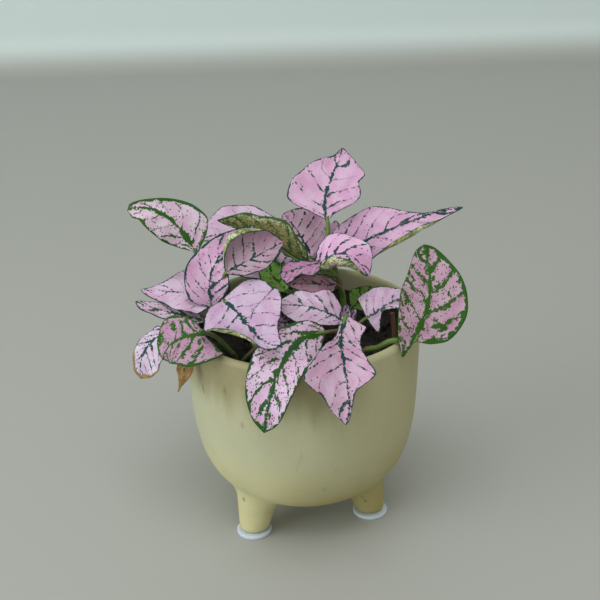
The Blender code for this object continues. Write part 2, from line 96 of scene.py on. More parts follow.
def mode(name):
    bpy.ops.object.mode_set(mode=name)


# Applies a modifier to the active object
def modify(item, kind, **settings):
    made = item.modifiers.new(kind.lower(), kind)
    for name, value in settings.items():
        setattr(made, name, value)
    bpy.ops.object.modifier_apply(modifier=made.name)


# The nodes of a material or a group while it is put together. An input is given as a
# number, a colour or another node's output.
class Shading:
    def __init__(self, tree):
        self.tree = tree

    def put(self, socket, value):
        if isinstance(value, bpy.types.NodeSocket):
            self.tree.links.new(value, socket)
        else:
            socket.default_value = (*value, 1.0) if socket.type == "RGBA" else value

    def node(self, kind, inputs=None, **settings):
        made = self.tree.nodes.new("ShaderNode" + kind)
        for name, value in settings.items():
            setattr(made, name, value)
        for name, value in (inputs or {}).items():
            self.put(made.inputs[name], value)
        return made

    def calc(self, operation, first, second=0.0, third=0.0, clamp=False):
        values = {0: first, 1: second, 2: third}
        return self.node("Math", values, operation=operation, use_clamp=clamp).outputs[0]

    def times(self, first, second):
        return self.calc("MULTIPLY", first, second)

    def plus(self, first, second):
        return self.calc("ADD", first, second)

    def less(self, first, second):
        return self.calc("SUBTRACT", first, second)

    def line(self, value, slope, offset):
        return self.calc("MULTIPLY_ADD", value, slope, offset)

    # The largest or smallest of some values
    def most(self, operation, first, *others):
        for other in others:
            first = self.calc(operation, first, other)
        return first

    # Rises from 0 to its strength as the value goes from low to high
    def ramp(self, value, low, high, strength=1.0):
        values = {0: value, 1: low, 2: high, 3: 0.0, 4: strength}
        return self.node("MapRange", values, interpolation_type="SMOOTHSTEP").outputs[0]

    def blend(self, factor, first, second, how="MIX"):
        colours = {0: factor, 6: first, 7: second}
        return self.node("Mix", colours, data_type="RGBA", blend_type=how).outputs[2]

    def noise(self, where, scale, detail=2.0, roughness=0.5):
        values = {"Vector": where, "Scale": scale, "Detail": detail, "Roughness": roughness}
        return self.node("TexNoise", values).outputs["Fac"]

    def cells(self, where, scale, **settings):
        return self.node("TexVoronoi", {"Vector": where, "Scale": scale}, **settings).outputs

    def place(self):
        return self.node("TexCoord").outputs["Object"]

    def scaled(self, where, scale, location=(0, 0, 0)):
        return self.node("Mapping", {"Vector": where, "Location": location, "Scale": scale}).outputs[0]

    def split(self, vector):
        return self.node("SeparateXYZ", {0: vector}).outputs

    def vector(self, x, y, z):
        return self.node("CombineXYZ", {0: x, 1: y, 2: z}).outputs[0]

    def attribute(self, name, output="Vector"):
        return self.node("Attribute", attribute_name=name).outputs[output]

    def field(self, name):
        return self.split(self.attribute(name))


SOCKETS = {"colour": "Base Color", "rough": "Roughness", "specular": "Specular IOR Level",
           "coat": "Coat Weight", "coat_rough": "Coat Roughness", "soft": "Subsurface Weight",
           "soft_radius": "Subsurface Radius", "normal": "Normal"}


class Material(Shading):
    def __init__(self, name):
        self.made = bpy.data.materials.new(name)
        self.made.use_nodes = True
        super().__init__(self.made.node_tree)

    # Sets the shader's sockets, and its bump from a height, a strength and a distance
    def finish(self, colour, rough, bump=None, **values):
        values.update(colour=colour, rough=rough)
        if bump:
            height = dict(zip(("Height", "Strength", "Distance"), bump))
            values["normal"] = self.node("Bump", height).outputs[0]
        for name, value in values.items():
            self.put(self.tree.nodes["Principled BSDF"].inputs[SOCKETS[name]], value)
        return self.made


def make_backdrop():
    made = Material("pale_backdrop")
    height = made.split(made.place())[2]
    return made.finish(made.blend(made.ramp(height, 0.0, 0.03), FLOOR_PALE, BACKDROP_PALE), 0.6)


deselect()
bpy.ops.mesh.primitive_plane_add(size=2 * FLOOR_HALF, location=(0, FLOOR_BACK - FLOOR_HALF, 0))
floor = bpy.context.object
floor.name = "studio_floor"
bpy.ops.object.transform_apply(location=True)
mode("EDIT")
bpy.ops.mesh.select_mode(type="VERT")
bpy.ops.mesh.select_all(action="DESELECT")
mode("OBJECT")
for vertex in floor.data.vertices:
    vertex.select = vertex.co.y > 0
mode("EDIT")
bpy.ops.mesh.extrude_region_move(TRANSFORM_OT_translate={"value": (0, 0, FLOOR_RISE)})
mode("OBJECT")
modify(floor, "BEVEL", width=CORNER_WIDTH, segments=CORNER_STEPS)
bpy.ops.object.shade_smooth()
floor.data.materials.append(make_backdrop())


# Light: a broad cool window at the left and a little in front, a soft sheet of light from
# above, and a pale warm room around.
DAYLIGHT = (0.93, 0.97, 1.0)
ROOM_TINT = (1.0, 0.965, 0.88)
ROOM_STRENGTH = 0.50


def area_light(name, place, aim, size, power):
    bpy.ops.object.light_add(type="AREA", location=place)
    lamp = bpy.context.object
    lamp.name = name
    lamp.data.shape = "DISK"
    lamp.data.size = size
    lamp.data.energy = power
    lamp.data.color = DAYLIGHT
    lamp.rotation_euler = (Vector(aim) - Vector(place)).to_track_quat("-Z", "Y").to_euler()


area_light("window", (-0.9, -0.5, 0.4), (0, 0, 0.05), size=0.9, power=5.4)
area_light("above", (0.0, -0.45, 1.2), (0, 0, 0.06), size=0.7, power=5.0)
room = bpy.data.worlds.new("pale_room")
bpy.context.scene.world = room
room.use_nodes = True
background = room.node_tree.nodes["Background"].inputs
background["Color"].default_value = (*ROOM_TINT, 1.0)
background["Strength"].default_value = ROOM_STRENGTH


# Pot: slip-cast stoneware with a matte pale yellow-green glaze, a U-shaped cup with a
# rounded lip on three short tapered feet. The cup is spun from its outline. Each foot is
# spun too, and its topmost rings are then laid in a rounded throat that runs into the cup.
POT_OUTER = [(0.0, 10.4), (6.0, 10.6), (12.0, 11.4), (18.0, 12.8), (24.0, 14.8), (34.0, 20.3),
             (41.2, 27.5), (45.3, 36.0), (47.6, 46.0), (48.8, 56.5), (49.4, 67.0), (49.9, 78.0),
             (50.4, 88.0), (50.8, 92.6)]
POT_LIP = [(50.8, 92.6), (50.76, 93.7), (50.3, 94.7), (49.7, 95.25), (49.0, 95.5), (48.3, 95.3),
           (47.7, 94.8), (47.3, 94.0), (47.1, 93.0)]
POT_INNER = [(47.1, 93.0), (46.9, 90.0), (46.5, 82.0), (45.7, 68.0), (44.8, 54.0), (42.6, 42.0),
             (38.4, 32.5), (30.0, 24.2), (16.0, 18.0), (0.0, 15.8)]
POT_SIDES = 160
# Feet: name, distance from the pot's axis, and bearing in degrees from the front
FEET = [("left", 32.0, -48.0), ("right", 29.5, 72.0), ("back", 31.0, 192.0)]
FOOT_LOW = [(0.0, 2.1), (4.6, 2.1), (5.3, 2.25), (5.9, 2.7), (6.35, 3.3), (6.7, 4.2), (7.0, 5.6),
            (7.35, 7.4)]
FOOT_FLARE = 0.2
FOOT_LEAN = 0.22
FOOT_SIDES = 72
FOOT_STEP = 0.1
THROAT = 4.6
THROAT_RINGS = 14
THROAT_DRAWN = 100
THROAT_DRAWN_WIDE = 8.0
THROAT_SINK = 0.05
SKIRT_OUT = 0.8
SKIRT_SINK = 0.5
PLUG_SINK = 1.5
GLAZE = (0.53, 0.545, 0.36)
# Painted light, yellower and lighter, and painted warm shade, ochre, for the low and right parts of the
# glaze
GLAZE_PAINTED_LIGHT = (0.68, 0.645, 0.34)
GLAZE_PAINTED_SHADE = (0.39, 0.32, 0.075)
# Painted shadow of the leaves below the lip
GLAZE_PAINTED_SHADOW = (0.28, 0.235, 0.105)
GLAZE_CLOUD = (0.46, 0.45, 0.25)
SMEAR_BROWN = (0.22, 0.19, 0.10)
PIT_BROWN = (0.16, 0.13, 0.08)
MARK_BROWN = (0.14, 0.12, 0.06)
GRAIN_DARK = (0.25, 0.25, 0.14)
GRAIN_PALE = (0.75, 0.75, 0.55)
# Small marks in the glaze: where, how far they spread, how tall for their width, how strong
MARKS = [((-25.5, -42.3, 66.4), 1.1, 1.8, 0.35), ((-41.6, -27.5, 75.9), 1.2, 2.6, 0.5),
         ((-32, -38.6, 80.5), 1.0, 3.0, 0.5), ((-27.4, -26.1, 19.8), 1.0, 1.3, 0.6),
         ((24.4, -16.6, 12.2), 0.7, 1.3, 0.6), ((25.6, -16.4, 10.3), 0.8, 1.3, 0.7)]


# Distance along a line of points, at each of them
def distances(points):
    return np.concatenate([[0.0], np.cumsum(np.linalg.norm(np.diff(points, axis=0), axis=1))])


# Points of a curve at some places, from its knots with their points and tangents
def hermite(knots, points, tangents, at):
    i = np.clip(np.searchsorted(knots, at, side="right") - 1, 0, len(knots) - 2)
    step = knots[i + 1] - knots[i]
    u = (at - knots[i]) / step
    if points.ndim == 2:
        step, u = step[:, None], u[:, None]
    return (points[i] * (1 + 2 * u) * (1 - u) ** 2 + tangents[i] * step * u * (1 - u) ** 2
            + points[i + 1] * u ** 2 * (3 - 2 * u) + tangents[i + 1] * step * u ** 2 * (u - 1))


# Smooth line through a few points, with tangents from their neighbours
def smooth_line(points, count):
    points = np.asarray(points, float)
    knots = distances(points)
    return hermite(knots, points, np.gradient(points, knots, axis=0), np.linspace(0.0, knots[-1], count))


# A new object, as the only one that is selected
def new_object(name, data):
    item = bpy.data.objects.new(name, data)
    bpy.context.scene.collection.objects.link(item)
    deselect()
    item.select_set(True)
    bpy.context.view_layer.objects.active = item
    return item


# A piece spun from an outline of (radius, height) about the upright line through (x, y)
def turned(name, outline, sides, x=0.0, y=0.0):
    place = placed(x, y, 0)
    mesh = bpy.data.meshes.new(name)
    mesh.from_pydata([place + Vector((radius, 0, height)) * MM for radius, height in outline],
                     [(k, k + 1) for k in range(len(outline) - 1)], [])
    item = new_object(name, mesh)
    mode("EDIT")
    bpy.ops.mesh.select_all(action="SELECT")
    bpy.ops.mesh.spin(steps=sides, angle=math.tau, center=place, axis=(0, 0, 1))
    bpy.ops.mesh.select_all(action="SELECT")
    bpy.ops.mesh.remove_doubles(threshold=0.00001)
    bpy.ops.mesh.normals_make_consistent(inside=False)
    mode("OBJECT")
    bpy.ops.object.shade_smooth()
    return item


def join(pieces, name):
    deselect()
    for piece in pieces:
        piece.select_set(True)
    bpy.context.view_layer.objects.active = pieces[0]
    bpy.ops.object.join()
    pieces[0].name = name
    return pieces[0]


CUP_SIDE = smooth_line(POT_OUTER, 400)


# Nearest point of the cup's outer side, and the way out of it there
def onto_cup(point):
    radius = point.to_2d().length
    k = int(np.argmin(np.hypot(CUP_SIDE[:, 0] - radius, CUP_SIDE[:, 1] - point.z)))
    k = min(max(k, 1), len(CUP_SIDE) - 2)
    run, rise = CUP_SIDE[k + 1] - CUP_SIDE[k - 1]
    across = point.to_2d().normalized()
    out = Vector((across.x * rise, across.y * rise, -run)).normalized()
    side = Vector((across.x * CUP_SIDE[k][0], across.y * CUP_SIDE[k][0], CUP_SIDE[k][1]))
    return side, out


# A foot whose throat rings are drawn straight above it, then laid in their curve. The last
# ring and the point that closes it are sunk into the cup's wall.
def make_foot(name, x, y):
    outline = FOOT_LOW + [(THROAT_DRAWN_WIDE, THROAT_DRAWN + k) for k in range(THROAT_RINGS + 1)]
    outline.append((0.0, THROAT_DRAWN + THROAT_RINGS + 1))
    foot = turned(name, outline, FOOT_SIDES, x, y)
    axis = AXIS.to_3d() / MM
    middle = Vector((x, y, 0))
    inward = -middle.normalized() * FOOT_LEAN
    bottom = FOOT_LOW[0][1]
    wide, low = FOOT_LOW[-1]
    for vertex in foot.data.vertices:
        here = vertex.co / MM - axis - middle
        ring = round(here.z - THROAT_DRAWN)
        if ring < 0:
            vertex.co += inward * (here.z - bottom) * MM
            continue
        away = here.to_2d().to_3d().normalized() if ring <= THROAT_RINGS else Vector()
        height = low
        side = middle
        while side.to_2d().length > np.interp(height, CUP_SIDE[:, 1], CUP_SIDE[:, 0]) or height == low:
            height += FOOT_STEP
            side = middle + inward * (height - bottom) + away * (wide + FOOT_FLARE * (height - low))
            side.z = height
        seam, out = onto_cup(side)
        if ring > THROAT_RINGS:
            vertex.co = (seam - out * PLUG_SINK + axis) * MM
            continue
        down = (inward + away * FOOT_FLARE + Vector((0, 0, 1))).normalized()
        along = (away - out * away.dot(out)).normalized()
        start = seam - down * THROAT
        end, out = onto_cup(seam + along * THROAT)
        t = min(1.0, ring / (THROAT_RINGS - 1))
        point = start * (1 - t) ** 2 + seam * 2 * t * (1 - t) + end * t ** 2 - out * THROAT_SINK * t
        if ring == THROAT_RINGS:
            point += along * SKIRT_OUT - out * SKIRT_SINK
        vertex.co = (point + axis) * MM
    return foot


pot_outline = [*smooth_line(POT_OUTER, 70)[:-1], *smooth_line(POT_LIP, 20)[:-1],
               *smooth_line(POT_INNER, 40)]
feet = []
for name, ring, bearing in FEET:
    angle = math.radians(bearing)
    feet.append((name, ring * math.sin(angle), -ring * math.cos(angle)))
cup = turned("pot_glazed", pot_outline, POT_SIDES)
pot = join([cup] + [make_foot(f"foot_{name}", x, y) for name, x, y in feet], "pot_glazed")


# Glaze: pale and even above, with painted light and shade: yellower and lighter low on the
# left of the cup and on its feet, painted warm ochre shade low on the right and up the right
# side, and a painted shadow of the leaves below the lip, broken into upright streaks; with
# soft clouds, faint upright smears, a few tiny dark pinholes and a few small marks.
def make_glaze():
    made = Material("matte_glaze")
    blend, ramp, times, noise_at = made.blend, made.ramp, made.times, made.noise
    place = made.place()
    across, depth, height = made.split(place)
    cloud = noise_at(place, 28, 3, 0.55)
    fine = noise_at(place, 420, 3, 0.6)
    # Painted light and shade low on the cup and on the feet, yellower and lighter to the left and warm
    # ochre shade to the right, and painted warm ochre shade up the right side
    low = ramp(made.line(cloud, 0.030, height), 0.075, 0.034, 0.95)
    painted_lighting_mask = made.most("MAXIMUM", low, ramp(across, 0.0, 0.045, 0.38))
    painted_lighting_colour = blend(ramp(across, -0.022, 0.012), GLAZE_PAINTED_LIGHT, GLAZE_PAINTED_SHADE)
    colour = blend(painted_lighting_mask, GLAZE, painted_lighting_colour)
    # Painted shadow of the leaves: darker olive-brown below the lip at the front, fading to the right and
    # downwards in upright streaks
    shadow_streaks = noise_at(made.scaled(place, (120, 120, 14)), 1.0, 3)
    painted_leaf_shadow = ramp(made.line(shadow_streaks, 0.024, height), 0.078, 0.096, 0.85)
    painted_leaf_shadow = times(times(painted_leaf_shadow, ramp(depth, 0.015, -0.020)), ramp(across, 0.034, 0.004))
    colour = blend(painted_leaf_shadow, colour, GLAZE_PAINTED_SHADOW)
    colour = blend(ramp(cloud, 0.42, 0.68, 0.35), colour, GLAZE_CLOUD)
    stretched = noise_at(made.scaled(place, (230, 230, 24)), 1.0, 2)
    smear = times(ramp(stretched, 0.62, 0.80, 0.45), ramp(noise_at(place, 30, 1), 0.50, 0.66))
    colour = blend(smear, colour, SMEAR_BROWN)
    pinholes = ramp(made.cells(place, 170.0)["Distance"], 0.11, 0.05)
    pit = times(pinholes, ramp(noise_at(place, 75, 1), 0.60, 0.66))
    colour = blend(times(pit, 0.65), colour, PIT_BROWN)
    for spot, spread, tall, strength in MARKS:
        middle = placed(*spot)
        size = Vector((1, 1, 1 / tall)) / (spread * MM)
        off = made.scaled(place, size, -middle * size)
        away = made.node("VectorMath", {0: off}, operation="LENGTH").outputs["Value"]
        colour = blend(ramp(made.line(fine, 0.8, away), 1.6, 0.6, strength), colour, MARK_BROWN)
    colour = blend(0.10, colour, blend(fine, GRAIN_DARK, GRAIN_PALE))
    relief = made.less(made.line(fine, 0.25, cloud), pit)
    return made.finish(colour, made.line(cloud, 0.22, 0.44), (relief, 0.25, 0.0004), specular=0.35)


pot.data.materials.append(make_glaze())
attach(pot, "root")
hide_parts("pot")


# Pads: three round discs of clear bluish silicone that stick under the feet and keep them
# off the table. Each is a low cylinder with its rims rounded.
PAD_RADIUS = 7.6
PAD_THICK = 1.8
PAD_SIDES = 64
PAD_ROUNDING = 0.55
PAD_ROUNDING_STEPS = 5
PAD_TINT = (0.55, 0.66, 0.76)
PAD_CLOUD = (0.72, 0.80, 0.88)


def make_silicone():
    made = Material("clear_silicone")
    cloud = made.noise(made.place(), 260, 2)
    return made.finish(made.blend(cloud, PAD_TINT, PAD_CLOUD), made.line(cloud, 0.2, 0.2),
                       soft=0.4, soft_radius=(0.002, 0.0025, 0.003))


silicone = make_silicone()
for name, x, y in feet:
    deselect()
    bpy.ops.mesh.primitive_cylinder_add(
        vertices=PAD_SIDES, radius=PAD_RADIUS * MM, depth=PAD_THICK * MM,
        location=placed(x, y, PAD_THICK / 2))
    pad = bpy.context.object
    pad.name = f"silicone_pad_{name}"
    bpy.ops.object.transform_apply(location=True)
    modify(pad, "BEVEL", width=PAD_ROUNDING * MM, segments=PAD_ROUNDING_STEPS,
           angle_limit=math.radians(50))
    bpy.ops.object.shade_smooth_by_angle(angle=math.radians(40))
    pad.data.materials.append(silicone)
    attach(pad, "root")
    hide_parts(f"pad_{name}")


# Soil: dark peaty potting mix, filled to a little below the lip. A spun body whose top is
# heaved into lumps, with loose crumbs of peat and bark pressed into it.
SOIL_LEVEL = 87.0
SOIL_SETTLE = 0.4
SOIL_MOUND = 1.2
MOUND_REACH = 46
SOIL_RADIUS = 46.2
# Lumps: how close together, how tall, and where in the noise
LUMPS = [(0.16, 1.1, 3), (0.5, 0.7, 9)]
SOIL_SIDE = [(46.1, 82.0), (45.3, 68.0), (44.4, 54.0), (42.2, 42.3), (38.0, 33.0), (29.6, 24.8),
             (15.8, 18.5), (0.0, 16.2)]
SOIL_RINGS = 44
SOIL_SIDES = 128
CRUMBS = 420
CRUMB_SIZES = [0.5, 0.6, 0.8, 0.9, 1.2, 1.6]
CRUMB_FIELD = 45
CRUMB_SINK = 0.25
CRUMB_ROUGH = 0.35
PEAT = (0.012, 0.0095, 0.008)
BARK = (0.035, 0.022, 0.014)


def make_peat():
    made = Material("potting_mix")
    place = made.place()
    cloud = made.noise(place, 350, 4, 0.7)
    relief = made.plus(made.cells(place, 900.0)["Distance"], cloud)
    return made.finish(made.blend(made.ramp(cloud, 0.45, 0.75), PEAT, BARK), 0.92, (relief, 0.8, 0.0006))


def soil_height(x, y):
    mound = SOIL_MOUND * max(0.0, 1 - math.hypot(x, y) / MOUND_REACH)
    lumps = sum(noise.noise(Vector((x, y, layer)) * close) * tall for close, tall, layer in LUMPS)
    return SOIL_LEVEL - SOIL_SETTLE + mound + lumps


top_rings = [(SOIL_RADIUS * k / SOIL_RINGS, SOIL_LEVEL) for k in range(SOIL_RINGS + 1)]
soil = turned("potting_soil", top_rings + SOIL_SIDE, SOIL_SIDES)
for vertex in soil.data.vertices:
    x, y, z = vertex.co / MM - AXIS.to_3d() / MM
    if z > SOIL_LEVEL - 0.5:
        vertex.co.z = soil_height(x, y) * MM
random.seed(7)
crumbs = [soil]
for k in range(CRUMBS):
    angle = random.uniform(0, math.tau)
    radius = CRUMB_FIELD * math.sqrt(random.random())
    size = random.choice(CRUMB_SIZES)
    x = radius * math.cos(angle)
    y = radius * math.sin(angle)
    z = soil_height(x, y) + CRUMB_SINK * size
    bpy.ops.mesh.primitive_ico_sphere_add(
        subdivisions=1 if size < 0.9 else 2, radius=size * MM,
        location=placed(x, y, z),
        rotation=(random.uniform(0, 3), random.uniform(0, 3), random.uniform(0, 3)),
        scale=(1, random.uniform(0.5, 1), random.uniform(0.4, 0.8)))
    crumb = bpy.context.object
    for vertex in crumb.data.vertices:
        vertex.co *= 1 + CRUMB_ROUGH * noise.noise(vertex.co * 900 + Vector((k, 0, 0)))
    crumbs.append(crumb)
soil = join(crumbs, "potting_soil")
bpy.ops.object.transform_apply(location=True, rotation=True, scale=True)
soil.data.materials.append(make_peat())
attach(soil, "root")
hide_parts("soil")


# Tallest stem: soft green stem with leaves in pairs on short petioles, the broad ovate one
# at its top and the long one that reaches right. Polka dot plant leaves are thin and a
# little hairy, pink between dark green veins, quilted between the side veins, and often
# rolled up at the margin, where the paler underside shows.
ALONG = 64
HALF_ACROSS = 20
SMALL_ALONG = 32
SMALL_ACROSS = 12
SMALL_LEAF = 18
BLADE_THICK = 0.36
BASE_HALF_WIDTH = 0.3
PETIOLE = 0.95
RIB_END = 0.35
STATIONS = (0.0, 0.1, 0.3, 0.5, 0.7, 0.9, 1.0)
CLOSE_STATIONS = (0.0, 0.05, 0.15, 0.28, 0.4, 0.52, 0.64, 0.76, 0.88, 0.96, 1.0)
RIB_GROOVE = 0.32
RIB_WIDE = 0.9
# Quilting: how high, how sharp its valleys are, and how far from the margin it fades
QUILT = 0.30
QUILT_VALLEY = 0.7
QUILT_FADE = 3
CURL_STEPS = 4
RIPPLES = 3
RIPPLE_SHIFT = 1.3
# Share of a leaf's length over which its basal ears lie, and over which they open
EAR_LONG = 0.35
EAR_OPEN = 0.06
TIP_SLOPE = 1.3
CREASE_STEP = 0.8
CREASE_FADE = 9
BLUE_GREEN = (0.010, 0.062, 0.052)
FRESH_GREEN = (0.022, 0.105, 0.004)

# Looks: colours of the upper and lower side, widths in millimetres of the green on the
# midrib, the side veins and the margin (one value, or left and right), share of specks and
# blotches, freshness of the green, how far it has dried from the margin, and gloss
PLAIN = dict(midrib=0.4, vein=0.3, margin=0.3, speck=0.2, fresh=0.05, dry=0.0, gloss=0.0)
ROSE = dict(PLAIN, tint=(0.68, 0.455, 0.64), under=(0.45, 0.26, 0.33), midrib=0.55, vein=0.36,
            margin=0.34, speck=0.15)
PALE = dict(PLAIN, tint=(0.70, 0.545, 0.71), under=(0.48, 0.32, 0.38), midrib=0.5, speck=0.12)
DEEP = dict(PLAIN, tint=(0.50, 0.26, 0.42), under=(0.40, 0.16, 0.24), midrib=0.45, vein=0.32,
            margin=0.45, speck=0.10)
VEINED = dict(PLAIN, tint=(0.66, 0.48, 0.63), under=(0.42, 0.36, 0.20), midrib=1.1, vein=0.6,
              margin=0.7, speck=0.5, fresh=0.6)
GREEN = dict(PLAIN, tint=(0.23, 0.50, 0.085), under=(0.24, 0.40, 0.12), fresh=1.0)
DRY = dict(PLAIN, tint=(0.50, 0.30, 0.09), under=(0.45, 0.30, 0.10), fresh=0.4, dry=8.0)


# Habit of a leaf: fold and margin curl of each half in degrees (one value, or one for each
# station), how far out the curl sits, edge wave, basal ears, a crease, side veins per half
# and their shift
HABIT = dict(fold=(8, 8), curl=(0, 0), power=2.0, wave=0.6, ear=(0, 0), crease=None, veins=6,
             shift=(0.0, 0.4))


# One leaf: its petiole's points from the stem on, midrib points from base to tip, half
# widths left and right of the midrib, where the upper side faces, its look, and whatever
# is its own in habit and look
def leaf(petiole, rib, left, right, face, look=ROSE, **changes):
    shape = dict(petiole=petiole, rib=rib, half=(left, right), face=face)
    return {**HABIT, **look, **shape, **changes}


# Smooth curve through a few points, at parameters from 0 to 1
def through(points, at):
    points = np.asarray(points, float)
    knots = distances(points)
    knots /= knots[-1]
    result = np.zeros((len(at), points.shape[1]))
    for i, point in enumerate(points):
        weight = np.ones(len(at))
        for j in range(len(points)):
            if j != i:
                weight = weight * (at - knots[j]) / (knots[i] - knots[j])
        result += np.outer(weight, point)
    return result


def stations(values):
    return np.array(STATIONS if len(values) == 5 else CLOSE_STATIONS)


# Half width along a leaf: a smooth line through the stations that never overshoots
def half_width(widths, at):
    x = stations(widths)
    y = np.array([BASE_HALF_WIDTH, *widths, BASE_HALF_WIDTH])
    step = np.diff(x)
    slope = np.diff(y) / step
    tangent = np.zeros(len(x))
    for i in range(1, len(x) - 1):
        if slope[i - 1] * slope[i] > 0:
            a = 2 * step[i] + step[i - 1]
            b = step[i] + 2 * step[i - 1]
            tangent[i] = (a + b) / (a / slope[i - 1] + b / slope[i])
    tangent[[0, -1]] = slope[[0, -1]] * TIP_SLOPE
    return hermite(x, y, tangent, at)


# A value given once, or at the inner stations, spread along the leaf
def along_leaf(value, at):
    if isinstance(value, (int, float)):
        return np.full(len(at), float(value))
    return np.interp(at, stations(value)[1:-1], value)


# Distance in millimetres past a leaf's crease, which runs outwards from the midrib, and
# how much of it shows. It is given as its half, how far out its points are, their places
# along the leaf, and how high the far side stands.
def past_crease(shape, at, half):
    hand, reaches, places = shape["crease"][:3]
    reach = np.linspace(0, 1, half + 1)
    past = at[:, None] - np.interp(reach, reaches, places)[None, :]
    columns = slice(half, None) if hand else slice(half, None, -1)
    window = np.clip((reach - reaches[0]) / 0.15, 0, 1)[None, :]
    return columns, past * distances(through(shape["rib"], at))[-1], window


# How far the margin of one half reaches back past the leaf's base, in millimetres
def basal_ear(shape, hand, at):
    opened = np.clip(1 - at / EAR_LONG, 0, 1) ** 1.5
    return shape["ear"][hand] * opened * np.minimum(1, at / EAR_OPEN)


def unit_rows(rows):
    return rows / np.linalg.norm(rows, axis=-1, keepdims=True)


# Middle surface of a leaf, as a grid of points from base to tip and left to right margin
def leaf_grid(shape, at, half):
    centre = through(shape["rib"], at)
    ahead = unit_rows(through(shape["rib"], at + 0.001) - through(shape["rib"], at - 0.001))
    face = unit_rows(np.broadcast_to(np.array(shape["face"], float), ahead.shape))
    up = unit_rows(face - (ahead * face).sum(axis=1, keepdims=True) * ahead)
    side = np.cross(ahead, up)
    grid = np.zeros((len(at), 2 * half + 1, 3))
    for hand, sign in ((0, -1), (1, 1)):
        width = half_width(shape["half"][hand], at)
        share = width / max(shape["half"][hand])
        back = basal_ear(shape, hand, at)
        fold = np.radians(along_leaf(shape["fold"][hand], at))
        curl = np.radians(along_leaf(shape["curl"][hand], at))
        out = np.linspace(0.0, 1.0, half * CURL_STEPS + 1)
        bend = fold[:, None] + curl[:, None] * out ** shape["power"]
        middle = (bend[:, 1:] + bend[:, :-1]) / 2
        start = np.zeros((len(at), 1))
        flat, rise = (np.hstack([start, np.cumsum(turn(middle), axis=1)]) / (half * CURL_STEPS)
                      for turn in (np.cos, np.sin))
        for j in range(half + 1):
            reach = j / half
            ripple = np.sin(2 * RIPPLES * math.pi * at + RIPPLE_SHIFT * hand)
            ripple = shape["wave"] * ripple * reach ** 2 * share
            grid[:, half + sign * j] = (
                centre + side * (sign * width * flat[:, j * CURL_STEPS])[:, None]
                + up * (width * rise[:, j * CURL_STEPS] + ripple)[:, None]
                - ahead * (back * reach ** 2)[:, None])
    if shape["crease"]:
        columns, past, window = past_crease(shape, at, half)
        lift = shape["crease"][3] * np.clip(past / CREASE_STEP + 0.5, 0, 1)
        lift = lift * np.exp(-np.maximum(past, 0) / CREASE_FADE) * window
        grid[:, columns] += up[:, None] * lift[..., None]
    return grid


# Distances over the flattened leaf that its colours and quilting follow: along it, across
# it, to its margin, the count of side veins so far, and the gap between two of them
def leaf_fields(shape, at, half, grid):
    along = distances(through(shape["rib"], at))
    reach = np.linspace(-1, 1, 2 * half + 1)
    lead = np.abs(reach) ** 1.25
    across, phase, far = np.zeros((3, len(at), 2 * half + 1))
    for hand, columns in ((0, reach < 0), (1, reach >= 0)):
        width = half_width(shape["half"][hand], at)
        across[:, columns] = width[:, None] * reach[columns]
        far[:, columns] = along[:, None] - basal_ear(shape, hand, at)[:, None] * reach[columns] ** 2
        drift = (0.30 - 0.08 * at)[:, None] * lead[columns]
        phase[:, columns] = (at[:, None] - drift) * shape["veins"] + shape["shift"][hand]
    flat = np.stack([far, across], axis=-1)
    outline = np.vstack([flat[:, 0], flat[:, -1]])
    edge = np.linalg.norm(flat[:, :, None] - outline, axis=-1).min(axis=-1)
    if shape["crease"]:
        columns, past, window = past_crease(shape, at, half)
        to_crease = np.abs(past + 0.3) * 0.8 - 0.4 + 3 * (1 - window)
        edge[:, columns] = np.minimum(edge[:, columns], to_crease)
    rows = np.linalg.norm(np.gradient(grid, axis=0), axis=2)
    columns = np.linalg.norm(np.gradient(grid, axis=1), axis=2)
    slope = np.hypot(np.gradient(phase, axis=0) / np.maximum(rows, 0.05),
                     np.gradient(phase, axis=1) / np.maximum(columns, 0.05))
    return far, across, edge, phase, 1 / np.maximum(slope, 0.02)


# Sinks the midrib and puffs the skin up between the side veins
def quilt(half, grid, across, edge, phase):
    normal = unit_rows(np.cross(np.gradient(grid, axis=0), np.gradient(grid, axis=1)) + 1e-9)
    valley = np.abs(np.sin(math.pi * phase)) ** QUILT_VALLEY
    reach = np.abs(np.linspace(-1, 1, 2 * half + 1))
    puff = QUILT * valley * np.minimum(1, 3 * reach) * np.clip(edge / QUILT_FADE, 0, 1)
    groove = RIB_GROOVE * np.exp(-(across / RIB_WIDE) ** 2)
    return grid + normal * (puff - groove)[..., None]


# A field of a mesh with three or four numbers for each point
def set_field(mesh, name, *columns):
    kind, key = ("FLOAT_VECTOR", "vector") if len(columns) == 3 else ("FLOAT_COLOR", "color")
    values = np.zeros((len(mesh.vertices), len(columns)), np.float32)
    for k, column in enumerate(columns):
        values[:, k] = column
    mesh.attributes.new(name, kind, "POINT").data.foreach_set(key, values.ravel())


